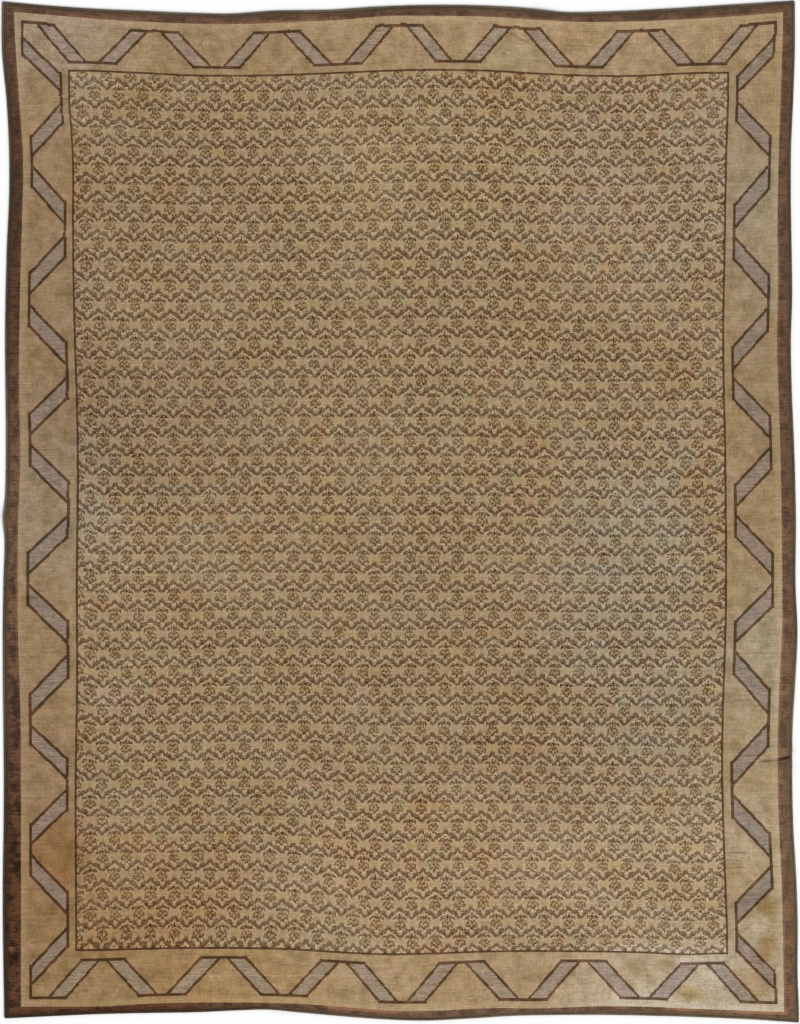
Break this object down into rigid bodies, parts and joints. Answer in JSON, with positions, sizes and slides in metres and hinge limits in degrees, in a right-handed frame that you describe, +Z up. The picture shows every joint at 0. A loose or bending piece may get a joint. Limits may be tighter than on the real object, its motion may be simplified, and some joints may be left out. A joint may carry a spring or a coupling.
{
  "type": "turkish rug",
  "caption": "Hand-knotted wool room rug lying open, with an all-over field of small palmettes, a folded-ribbon border, a brown guard band and overcast edges.",
  "frame": {"origin": "on the floor under the middle of the rug", "axes": "+X across the width, +Y along the length towards the end woven last, +Z up out of the pile"},
  "size_m": [3.499, 4.485, 0.0177],
  "materials": {
    "pile": "short hand-knotted wool pile, sand, brown and lilac grey, worn and faded",
    "overcast": "charcoal wool yarn wrapped tightly round the edge"
  },
  "bodies": {
    "root": {"rug_body": "pile", "side_edge_left": "overcast", "side_edge_right": "overcast", "end_edge_top": "overcast", "end_edge_bottom": "overcast"}
  },
  "joints": []
}
